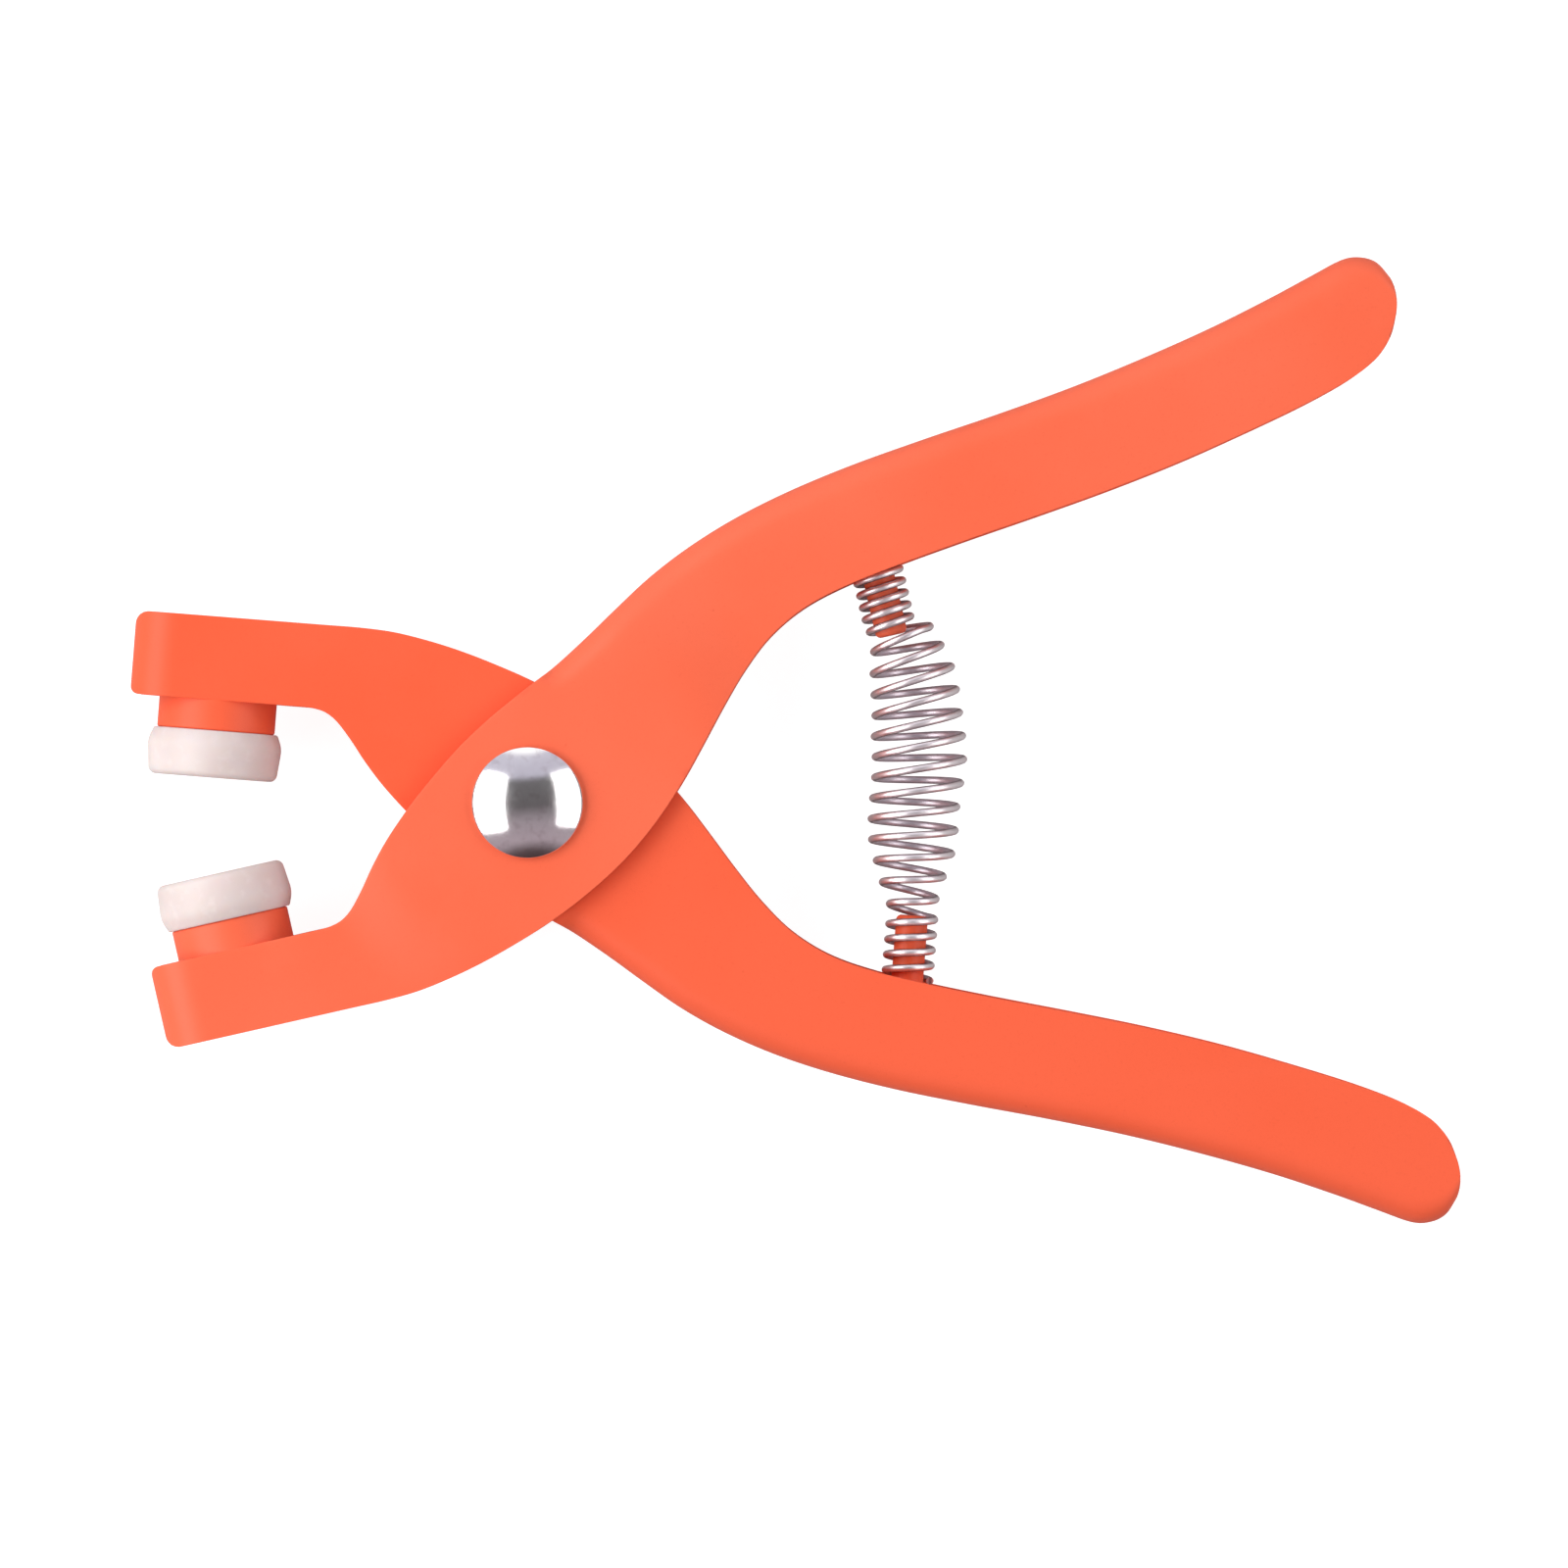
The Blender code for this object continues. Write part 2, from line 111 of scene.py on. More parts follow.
# Across the lever, from its upper edge to its lower one, from the jaw to the handle's end.
STATIONS = (
    ((NOSE_X + NOSE_BEND, JAW_TOP), (NOSE_X + NOSE_BEND, JAW_BOTTOM)),
    ((-37.5, JAW_TOP), (-37.5, JAW_BOTTOM)),
    ((-30.5, JAW_TOP), (-30.0, JAW_BOTTOM)),
    ((-25.5, 19.1), (-26.0, 9.1)),
    ((-21.5, 19.1), (-23.8, 8.2)),
    ((-17.6, 18.9), (-21.7, 6.0)),
    ((-13.8, 18.3), (-19.6, 3.3)),
    ((-9.8, 17.4), (-17.2, 0.6)),
    ((-5.4, 16.1), (-14.0, -2.4)),
    ((-0.6, 14.4), (-10.4, -5.3)),
    ((4.5, 12.1), (-6.4, -8.2)),
    ((9.6, 9.2), (-2.2, -10.7)),
    ((14.2, 5.7), (2.2, -12.9)),
    ((18.2, 1.9), (6.6, -15.0)),
    ((21.8, -2.1), (11.0, -17.5)),
    ((25.2, -6.0), (15.4, -20.2)),
    ((28.6, -9.6), (20.0, -22.9)),
    ((32.4, -12.8), (25.2, -25.3)),
    ((37.0, -15.2), (31.2, -27.4)),
    ((42.5, -16.7), (38.0, -29.1)),
    ((49.5, -17.8), (46.0, -30.5)),
    ((57.5, -18.8), (55.0, -31.6)),
    ((66.5, -19.8), (64.5, -32.6)),
    ((75.5, -20.9), (74.0, -33.8)),
    ((84.5, -22.3), (83.0, -35.3)),
    ((93.0, -24.0), (91.5, -37.0)),
    ((100.5, -25.7), (98.8, -38.8)),
    ((106.0, -27.3), (104.2, -40.3)),
    ((109.1, -28.7), (108.3, -41.4)),
    ((110.8, -30.0), (110.6, -41.2)),
    ((112.1, -31.6), (112.3, -40.2)),
    ((113.1, -33.7), (113.3, -38.4)),
)
SPINE_START = 6.6              # x of the lower edge from which the handle's back is closed
SPINE_EASE = 2.0               # the sides bend in over this length before it
SPINE_MOST = 0.8               # the largest share of a column's length that its bend takes
COLUMN_STEP = 1.0              # about the length of an edge between two columns of the mesh
TIP_COLUMN_STEP = 0.5          # the same where the handle's end is round
TIP_START = 107.0
TIP_BULGE = 0.4                # how far the handle's end stands out of a straight cut
RIM_BAND = 0.7                 # the first row lies this far in, clear of the edge's rounding
NOSE_STEPS = 10
WALL_STEPS = 12
BEND_STEPS = 6
SPINE_STEPS = 4

# How finely turned pieces are meshed.
TURNED_SEGMENTS = 96
PEG_SEGMENTS = 48
DRILL_SEGMENTS = 64
TURNED_STEP = 0.8              # the longest edge along the outline
FILLET_STEPS = 6
CREASE = 40.0                  # edges that turn by more than this stay sharp

DIE_X = -37.8
DIE_HEIGHT = 5.6
DIE_FACE_R = 7.6
DIE_FLARE_R = 8.0
DIE_FLARE_AT = 4.0
DIE_BASE_R = 7.35
DIE_RECESS_R = 5.2
DIE_RECESS_DEPTH = 0.8
DIE_DIMPLE_R = 1.4
DIE_DIMPLE_DEPTH = 0.5
SPIGOT_R = 3.0
SPIGOT_LENGTH = 3.4
POST_R = CHANNEL_HALF
POST_SHANK_R = CHANNEL_HALF - SHEET
POST_TOP = 17.6
POST_CUP = 0.5                 # depth of the turned cup in the post's end
COLLAR_BURY = 0.6              # the collar's top lies this far above the jaw's lower edge

DOME_R = rivet_high.x / MM
DOME_RIM = 0.7
DOME_STEPS = 28
SHANK_R = 3.2
HOLE_R = 3.5
TAIL_R = 5.2
GROOVE_R = 2.9                 # the riveting tool's ring on the tail
GROOVE_DEPTH = 0.25

SEAT = (46.5, -17.4)           # where the peg leaves the handle, in the lever's frame
PEG_R = 1.9
PEG_LENGTH = 7.6
PLATE_LENGTH = 9.0
PLATE_THICKNESS = 1.5
PLATE_DROP = 0.7
WIRE_R = 0.45
SPRING_BOW = 1.5               # how strongly the pegs' slant bows the centre line between them
# Turns of wire and the share of the spring's length they take: lower end, barrel, upper end.
SPRING_TURNS = ((4.0, 0.150), (13.0, 0.700), (5.0, 0.150))
# The coil's radius against the share of the length, from the lower seat up.
SPRING_RADII = ((0.0, 2.7), (0.16, 2.7), (0.36, 5.0), (0.56, 5.3), (0.72, 4.9), (0.84, 3.8),
                (0.875, 2.7), (1.0, 2.7))
# How far the coils sit to +X of the centre line, against the same share.
SPRING_LEAN = ((0.0, 0.0), (0.15, 0.0), (0.24, -0.7), (0.38, -0.75), (0.57, 0.45), (0.74, 1.1),
               (0.84, 1.25), (0.88, 0.0), (1.0, 0.0))
WIRE_STEPS_PER_TURN = 28
WIRE_SIDES = 12
WIRE_CREASE = 60.0
SHARE_NUDGE = 0.002            # how far either side of a place the spring's direction is measured
BLEND_INSET = 3.0              # a height up each peg; the points that add_spring takes at it are not used


# ---- finishes ----
# Depths of relief are in metres. Noise scales are in cells to the metre, but to the millimetre in
# rings and along the wire.

class Value:
    """A shader value. Arithmetic on it adds Math nodes to its tree."""

    def __init__(self, nodes, socket):
        self.nodes = nodes
        self.socket = socket

    def math(self, operation, first, second):
        return self.nodes.node("ShaderNodeMath", {"operation": operation}, {0: first, 1: second})

    def __add__(self, other):
        return self.math("ADD", self, other)

    def __sub__(self, other):
        return self.math("SUBTRACT", self, other)

    def __rsub__(self, other):
        return self.math("SUBTRACT", other, self)

    def __mul__(self, other):
        return self.math("MULTIPLY", self, other)

    __radd__ = __add__
    __rmul__ = __mul__


class Nodes:
    """A node tree, with the few kinds of node that the finishes and the sky are made of."""

    def __init__(self, tree):
        self.tree = tree

    def node(self, kind, settings=None, inputs=None, output=0):
        """Adds a node and gives one of its outputs. Settings are set first, then the sockets."""
        made = self.tree.nodes.new(kind)
        for name, value in (settings or {}).items():
            if name == "stops":
                set_stops(made.color_ramp, value)
            else:
                setattr(made, name, value)
        for name, value in (inputs or {}).items():
            self.feed(made.inputs[name], value)
        return Value(self, made.outputs[output])

    def feed(self, socket, value):
        if isinstance(value, Value):
            self.tree.links.new(value.socket, socket)
        else:
            socket.default_value = value

    def band(self, value, low, high):
        """0 below low, 1 above high, and eased between. Low may be above high."""
        if low < high:
            return self.node("ShaderNodeMapRange", {"interpolation_type": "SMOOTHSTEP"},
                             {"Value": value, "From Min": low, "From Max": high})
        return 1.0 - self.band(value, high, low)

    def mix(self, share, first, second):
        """Blends two colours."""
        return self.node("ShaderNodeMix", {"data_type": "RGBA"}, {0: share, 6: first, 7: second}, 2)

    def ramp(self, value, *stops):
        return self.node("ShaderNodeValToRGB", {"stops": stops}, {0: value})


class Finish(Nodes):
    """One material, with its Principled shader and the nodes that feed it."""

    def __init__(self, name, **constants):
        self.material = bpy.data.materials.new(name)
        self.material.use_nodes = True
        super().__init__(self.material.node_tree)
        self.shader = self.tree.nodes["Principled BSDF"]
        self.place = self.node("ShaderNodeTexCoord", output="Object")
        self.set(**constants)

    def set(self, **values):
        for socket, value in values.items():
            self.feed(self.shader.inputs[socket.replace("_", " ")], value)

    def stretched(self, stretch, place=None):
        """The place with each axis scaled, so that a texture on it is drawn out along the others."""
        return self.node("ShaderNodeVectorMath", {"operation": "MULTIPLY"},
                         {0: place or self.place, 1: stretch})

    def noise(self, scale, detail=2.0, place=None):
        return self.node("ShaderNodeTexNoise", None,
                         {"Vector": place or self.place, "Scale": scale, "Detail": detail})

    def specks(self, scale, radius):
        """1 inside round specks of this radius, as a share of the cells' size, and 0 elsewhere."""
        distance = self.node("ShaderNodeTexVoronoi", None, {"Vector": self.place, "Scale": scale})
        return self.band(distance, radius, radius / 2)

    def edges(self):
        """1 on outer edges and corners, 0 on flat and hollow stretches."""
        sharpness = self.node("ShaderNodeNewGeometry", output="Pointiness")
        return self.band(sharpness, 0.54, 0.66)

    def radius_here(self):
        """The distance from a turned piece's own axis, in millimetres."""
        flat = self.stretched((1 / MM, 1 / MM, 0.0))
        return self.node("ShaderNodeVectorMath", {"operation": "LENGTH"}, {0: flat}, "Value")

    def rings(self, scale):
        """Fine rings round a turned piece's own axis."""
        outwards = self.node("ShaderNodeCombineXYZ", None, {"X": self.radius_here()})
        return self.noise(scale, 2.0, outwards)

    def relief(self, height, depth, strength=1.0):
        """Feeds the shader's Normal from a height between 0 and 1; depth is its size in metres."""
        bump = self.node("ShaderNodeBump", None,
                         {"Strength": strength, "Distance": depth, "Height": height})
        self.set(Normal=bump)


def set_stops(ramp, stops):
    while len(ramp.elements) > 1:
        ramp.elements.remove(ramp.elements[-1])
    ramp.elements[0].position, ramp.elements[0].color = stops[0]
    for position, colour in stops[1:]:
        ramp.elements.new(position).color = colour


def powder_coat(name, plain, pale, worn):
    """Satin powder coat on steel: orange peel, fine grain, stray inclusions, a thin film on edges."""
    coat = Finish(name, Coat_Weight=0.04, Coat_Roughness=0.4, Specular_IOR_Level=0.27)
    drift = coat.noise(26.0, 2.0)
    cloud = coat.noise(140.0, 3.0)
    peel = coat.noise(620.0, 1.0)
    grain = coat.noise(3600.0, 2.0)
    colour = coat.mix(coat.band(drift, 0.35, 0.65), plain, pale)
    colour = coat.mix(coat.band(cloud, 0.45, 0.8) * 0.4, colour, pale)
    colour = coat.mix(coat.band(grain, 0.56, 0.76) * 0.16, colour, worn)
    inclusions = coat.specks(230.0, 0.045) * coat.band(cloud, 0.5, 0.62)
    thin = coat.edges() * coat.band(coat.noise(1500.0, 3.0), 0.25, 0.6)
    colour = coat.mix(inclusions * 0.35 + thin * 0.30, colour, worn)
    rubbed = coat.band(coat.noise(60.0, 4.0, coat.stretched((0.35, 6.0, 1.0))), 0.62, 0.80)
    coat.set(Base_Color=colour, Roughness=0.43 + drift * 0.05 + grain * 0.05 + rubbed * 0.09)
    coat.relief(peel * 0.75 + grain * 0.20 + inclusions * 0.4, 0.00006, 0.5)
    return coat.material


def moulded_nylon():
    """Natural nylon: warm white, slightly translucent, with the tool's turning lines in its skin."""
    nylon = Finish("moulded_nylon", Subsurface_Weight=0.4, Subsurface_Scale=0.004,
                   Subsurface_Radius=(1.0, 0.55, 0.35), IOR=1.53, Specular_IOR_Level=0.4)
    drift = nylon.noise(120.0, 2.0)
    mottle = nylon.noise(700.0, 3.0)
    colour = nylon.mix(nylon.band(drift, 0.3, 0.7), (0.76, 0.675, 0.645, 1), (0.71, 0.615, 0.58, 1))
    colour = nylon.mix(nylon.band(mottle, 0.5, 0.8) * 0.35, colour, (0.83, 0.77, 0.75, 1))
    scuffs = nylon.band(nylon.noise(900.0, 3.0, nylon.stretched((1.0, 1.0, 4.0))), 0.64, 0.76)
    colour = nylon.mix(scuffs * 0.4, colour, (0.70, 0.575, 0.55, 1))
    nylon.set(Base_Color=colour, Roughness=0.42 + mottle * 0.10 + scuffs * 0.08)
    nylon.relief(nylon.rings(5.0) * 0.35 + mottle * 0.5 - scuffs * 0.4, 0.00004, 0.5)
    return nylon.material


def polished_nickel():
    """Bright nickel plate on the rivet: near mirror, a little wavy, with stray hairline scratches."""
    nickel = Finish("polished_nickel", Metallic=1.0)
    waves = nickel.noise(340.0, 2.0)
    bloom = nickel.noise(900.0, 4.0)
    hair = nickel.noise(500.0, 3.0, nickel.stretched((9.0, 0.6, 1.0)))
    cross = nickel.noise(500.0, 3.0, nickel.stretched((0.7, 8.0, 1.0)))
    lines = nickel.band(hair, 0.66, 0.72) + nickel.band(cross, 0.68, 0.74)
    colour = nickel.mix(nickel.band(waves, 0.35, 0.7), (0.88, 0.865, 0.865, 1), (0.83, 0.805, 0.81, 1))
    colour = nickel.mix(nickel.band(bloom, 0.48, 0.72) * 0.5 + lines * 0.1, colour,
                        (0.66, 0.60, 0.61, 1))
    nickel.set(Base_Color=colour, Roughness=0.10 + bloom * 0.10 + lines * 0.06)
    nickel.relief(waves * 0.8 + nickel.rings(9.0) * 0.06 - lines * 0.03, 0.00005, 0.7)
    return nickel.material


def zinc_plate():
    """Dull zinc on the washer and the spacer, over a turned surface."""
    zinc = Finish("zinc_plate", Metallic=1.0)
    rings = zinc.rings(8.0)
    bloom = zinc.noise(420.0, 4.0)
    colour = zinc.mix(zinc.band(bloom, 0.35, 0.7), (0.62, 0.61, 0.60, 1), (0.50, 0.49, 0.485, 1))
    zinc.set(Base_Color=colour, Roughness=0.30 + bloom * 0.16 + rings * 0.05)
    zinc.relief(rings * 0.7 + bloom * 0.3, 0.00002, 0.6)
    return zinc.material


def drawn_wire():
    """Plated spring wire, with a painted highlight along the coils' crests and painted shade on their
    flanks.
    """
    wire = Finish("drawn_spring_wire", Metallic=1.0)
    along = wire.node("ShaderNodeAttribute", {"attribute_name": "wire_place"}, output="Vector")
    outwards = wire.node("ShaderNodeSeparateXYZ", None, {0: along}, "X") * (0.5 / WIRE_R) + 0.5
    lines = wire.noise(7.0, 3.0, wire.stretched((1.0, 1.0, 0.05), along))
    bloom = wire.noise(0.9, 3.0, along)
    # Painted light: the colour runs round the wire's section, with a painted highlight on the coil's outer
    # crest, painted shade on the flanks that face the next coils, and paler again on the inner side.
    colour = wire.ramp(outwards + (bloom - 0.5) * 0.22,
                       (0.0, (0.74, 0.67, 0.72, 1)), (0.30, (0.60, 0.52, 0.56, 1)),
                       (0.50, (0.25, 0.19, 0.20, 1)), (0.70, (0.45, 0.38, 0.40, 1)),
                       (0.88, (0.96, 0.90, 0.91, 1)))
    colour = wire.mix(wire.band(lines, 0.55, 0.75) * 0.4, colour, (0.42, 0.34, 0.35, 1))
    wire.set(Base_Color=colour, Roughness=0.34 + lines * 0.10 + bloom * 0.06)
    wire.relief(lines, 0.000015, 0.6)
    return wire.material


# ---- building ----

def rear_place(x, y, z):
    """A point of the lever's frame on the open rear lever."""
    turn = math.radians(-HALF_OPEN)
    return Vector((x * math.cos(turn) - y * math.sin(turn), x * math.sin(turn) + y * math.cos(turn), z))


def front_place(x, y, z):
    """The same point on the front lever, the rear lever's mirror image."""
    mirrored = rear_place(x, y, z)
    return Vector((mirrored.x, -mirrored.y, mirrored.z))


def add_mesh(name, points, faces, material=None):
    """A mesh object from points in millimetres, with what no face uses left out."""
    mesh = bpy.data.meshes.new(name)
    mesh.from_pydata([Vector(point) * MM for point in points], [], faces)
    obj = bpy.data.objects.new(name, mesh)
    bpy.context.collection.objects.link(obj)
    if material:
        mesh.materials.append(material)
    shape = bmesh.new()
    shape.from_mesh(mesh)
    bmesh.ops.delete(shape, geom=[point for point in shape.verts if not point.link_faces])
    shape.to_mesh(mesh)
    shape.free()
    mesh.shade_smooth()
    return obj


def face_outwards(obj):
    shape = bmesh.new()
    shape.from_mesh(obj.data)
    bmesh.ops.recalc_face_normals(shape, faces=shape.faces)
    shape.to_mesh(obj.data)
    shape.free()


def keep_shape(obj):
    """Makes what the modifiers give the object's own mesh."""
    graph = bpy.context.evaluated_depsgraph_get()
    mesh = bpy.data.meshes.new_from_object(obj.evaluated_get(graph))
    obj.modifiers.clear()
    obj.data = mesh


def weigh_normals(obj):
    """Lets the broad faces rule the shading, so that a small rounded edge doesn't darken them."""
    modifier = obj.modifiers.new("Broad_faces_rule", "WEIGHTED_NORMAL")
    modifier.weight = 80
    modifier.keep_sharp = True


def hand_over(obj, body, slot, *nodes):
    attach(obj, body)
    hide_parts(*nodes)


def rounded_outline(corners, closed):
    """(radius, height) points from (radius, height, fillet) corners, each fillet an arc."""
    found = []
    for index, (radius, height, fillet) in enumerate(corners):
        corner = Vector((radius, height))
        if fillet == 0:
            found.append(corner)
            continue
        before = Vector(corners[index - 1][:2]) - corner
        after = Vector(corners[(index + 1) % len(corners)][:2]) - corner
        half = before.angle(after) / 2
        before.normalize()
        after.normalize()
        centre = corner + (before + after).normalized() * fillet / math.sin(half)
        start = corner + before * fillet / math.tan(half) - centre
        end = corner + after * fillet / math.tan(half) - centre
        for step in range(FILLET_STEPS + 1):
            found.append(centre + start.slerp(end, step / FILLET_STEPS) * fillet)
    return found + found[:1] if closed else found


def split_stretches(outline):
    """The outline with points added, so that none of its stretches is longer than TURNED_STEP."""
    found = [outline[0]]
    for start, end in zip(outline, outline[1:]):
        count = max(1, math.ceil((end - start).length / TURNED_STEP))
        found.extend(start.lerp(end, (step + 1) / count) for step in range(count))
    return found


def add_turned(name, corners, place, material=None, closed=False,
               segments=TURNED_SEGMENTS):
    """A piece turned about its own Z axis: an outline that starts and ends on the axis, or a ring."""
    outline = split_stretches(rounded_outline(corners, closed))
    points = []
    rings = []
    for radius, height in outline:
        ring = []
        for step in range(1 if radius < 1e-6 else segments):
            angle = 2 * math.pi * step / segments
            ring.append(len(points))
            points.append((radius * math.cos(angle), radius * math.sin(angle), height))
        rings.append(ring * segments if len(ring) == 1 else ring)
    if closed:
        rings[-1] = rings[0]
    faces = []
    for lower, upper in zip(rings, rings[1:]):
        for step in range(segments):
            after = (step + 1) % segments
            face = list(dict.fromkeys((lower[step], lower[after], upper[after], upper[step])))
            if len(face) > 2:
                faces.append(face)
    obj = add_mesh(name, points, faces, material)
    face_outwards(obj)
    obj.data.set_sharp_from_angle(angle=math.radians(CREASE))
    obj.matrix_world = place
    return obj


def on_lever(place, x, y):
    """Where a turned piece stands on a lever: its axis is the lever's own up, at (x, y)."""
    centre = place(x, y, MID_Z)
    up = place(x, y + 1, MID_Z) - centre
    across = place(x + 1, y, MID_Z) - centre
    rotation = Matrix((across, up.cross(across), up)).transposed()
    return Matrix.Translation(centre * MM) @ rotation.to_4x4()


# ---- levers ----

def smooth_between(before, start, end, after, share):
    """A point on the smooth curve through a row of points, between start and end."""
    square = share * share
    cube = square * share
    return tuple(
        0.5 * (2 * b + (c - a) * share + (2 * a - 5 * b + 4 * c - d) * square
               + (3 * b - a - 3 * c + d) * cube)
        for a, b, c, d in zip(before, start, end, after)
    )


def smooth_row(row, counts):
    """The row's points, with each span of its smooth curve cut into as many steps as counts says."""
    padded = [row[0], *row, row[-1]]
    found = []
    for index, count in enumerate(counts):
        for step in range(count):
            found.append(smooth_between(*padded[index:index + 4], step / count))
    found.append(row[-1])
    return found


def eased(share):
    share = min(1.0, max(0.0, share))
    return share * share * (3 - 2 * share)


def swell_half(x, y):
    """Half the front lever's outer width at a point of its side."""
    full, none = SWELL_JAW_RADII if x < 0 else SWELL_HANDLE_RADII
    share = (none - math.hypot(x, y)) / (none - full)
    return CHANNEL_HALF + eased(share) * (SWELL_HALF - CHANNEL_HALF)


def plain_half(x, y):
    return CHANNEL_HALF


def corner_inset(distance, radius):
    """How far a round corner of this radius falls short of the square one."""
    if distance >= radius:
        return 0.0
    return radius - math.sqrt(radius * radius - (radius - distance) ** 2)


def nose_columns():
    """(upper point, lower point, depth below the side) round the jaw's tip, from the seam on."""
    depths = [(NOSE_X, CHANNEL_HALF - SEAM_HALF)]
    for step in range(NOSE_STEPS):
        angle = math.pi / 2 * (1 - step / NOSE_STEPS)
        depths.append((NOSE_X + NOSE_BEND * (1 - math.sin(angle)), NOSE_BEND * (1 - math.cos(angle))))
    columns = []
    for x, depth in depths:
        top = JAW_TOP - corner_inset(x - NOSE_X, NOSE_TOP_CORNER)
        bottom = JAW_BOTTOM + corner_inset(x - NOSE_X, NOSE_BOTTOM_CORNER)
        columns.append(((x, top), (x, bottom), depth))
    return columns


def side_columns():
    uppers, lowers = zip(*STATIONS)
    counts = []
    for index in range(len(STATIONS) - 1):
        span = max(math.dist(*row[index:index + 2]) for row in (uppers, lowers))
        step = TIP_COLUMN_STEP if lowers[index][0] > TIP_START else COLUMN_STEP
        counts.append(max(1, round(span / step)))
    return [(top, bottom, 0.0) for top, bottom in zip(smooth_row(uppers, counts),
                                                      smooth_row(lowers, counts))]


def side_points(column, half_width, bend_share):
    """The front side's points across one column, from its upper edge to the middle of the spine."""
    top, bottom, depth = column
    length = math.dist(top, bottom)
    bend = min(SPINE_BEND, SPINE_MOST * length)
    inner = length - min(RIM_BAND, (length - bend) / 2)
    rows = [(length, 0.0)]
    for step in range(WALL_STEPS - 1):
        rows.append((inner + (bend - inner) * step / (WALL_STEPS - 1), 0.0))
    for step in range(BEND_STEPS + 1):
        angle = math.pi / 2 * step / BEND_STEPS
        level = 1 - step / BEND_STEPS
        offset = level + (1 - math.sin(angle) - level) * bend_share
        rows.append((bend * offset, bend * (1 - math.cos(angle)) * bend_share))
    points = []
    bulge = 4 * TIP_BULGE * eased((bottom[0] - TIP_START) / (STATIONS[-1][1][0] - TIP_START))
    for offset, drop in rows:
        share = offset / length
        x = bottom[0] + (top[0] - bottom[0]) * share + bulge * share * (1 - share)
        y = bottom[1] + (top[1] - bottom[1]) * share
        points.append((x, y, half_width(x, y) - depth - drop))
    x, y, half = points[-1]
    for step in range(1, SPINE_STEPS):
        points.append((x, y, half * (1 - step / SPINE_STEPS)))
    return points


def add_lever(name, half_width, place, mirrored, material):
    """A channel of bent sheet: two sides, a closed back along the handle and a bent-in nose."""
    columns = nose_columns() + side_columns()
    shares = [eased((column[1][0] - SPINE_START + SPINE_EASE) / SPINE_EASE) for column in columns]
    points = []
    for column, share in zip(columns, shares):
        row = side_points(column, half_width, share)
        middle = (row[-1][0], row[-1][1], 0.0)
        back = [(x, y, -z) for x, y, z in reversed(row)]
        points.extend(place(x, y, MID_Z + z) for x, y, z in [*row, middle, *back])
    side = WALL_STEPS + BEND_STEPS
    width = 2 * (side + SPINE_STEPS) + 1
    faces = []
    for column in range(len(columns) - 1):
        is_open = min(shares[column], shares[column + 1]) < 1
        for row in range(width - 1):
            if is_open and side <= row < width - 1 - side:
                continue
            start = column * width + row
            face = [start, start + 1, start + width + 1, start + width]
            faces.append(face[::-1] if mirrored else face)
    lever = add_mesh(name, points, faces, material)
    sheet = lever.modifiers.new("Sheet", "SOLIDIFY")
    sheet.thickness = SHEET * MM
    sheet.offset = -1
    sheet.use_even_offset = True
    keep_shape(lever)
    round_edges(lever)
    drill = pivot_drill()
    hole = lever.modifiers.new("Pivot_hole", "BOOLEAN")
    hole.operation = "DIFFERENCE"
    hole.object = drill
    keep_shape(lever)
    bpy.data.objects.remove(drill)
    weigh_normals(lever)
    return lever


def round_edges(lever):
    """Rounds the sheet's cut edges, all but those at the handle's end."""
    shape = bmesh.new()
    shape.from_mesh(lever.data)
    sharp = [edge for edge in shape.edges if edge.calc_face_angle(0) > math.radians(SHARP_EDGE)
             and max(point.co.xy.length for point in edge.verts) < ROUNDED_REACH * MM]
    bmesh.ops.bevel(shape, geom=sharp, offset=EDGE_ROUND * MM, segments=ROUND_STEPS, profile=0.5,
                    affect="EDGES", clamp_overlap=True)
    for face in shape.faces:
        face.smooth = True
    shape.to_mesh(lever.data)
    shape.free()


def pivot_drill():
    """The cutter for a lever's pivot hole."""
    reach = 2 * SWELL_HALF
    corners = ((0, MID_Z - reach, 0), (HOLE_R, MID_Z - reach, 0), (HOLE_R, MID_Z + reach, 0),
               (0, MID_Z + reach, 0))
    return add_turned("pivot_drill", corners, Matrix.Identity(4), segments=DRILL_SEGMENTS)


# ---- pivot ----

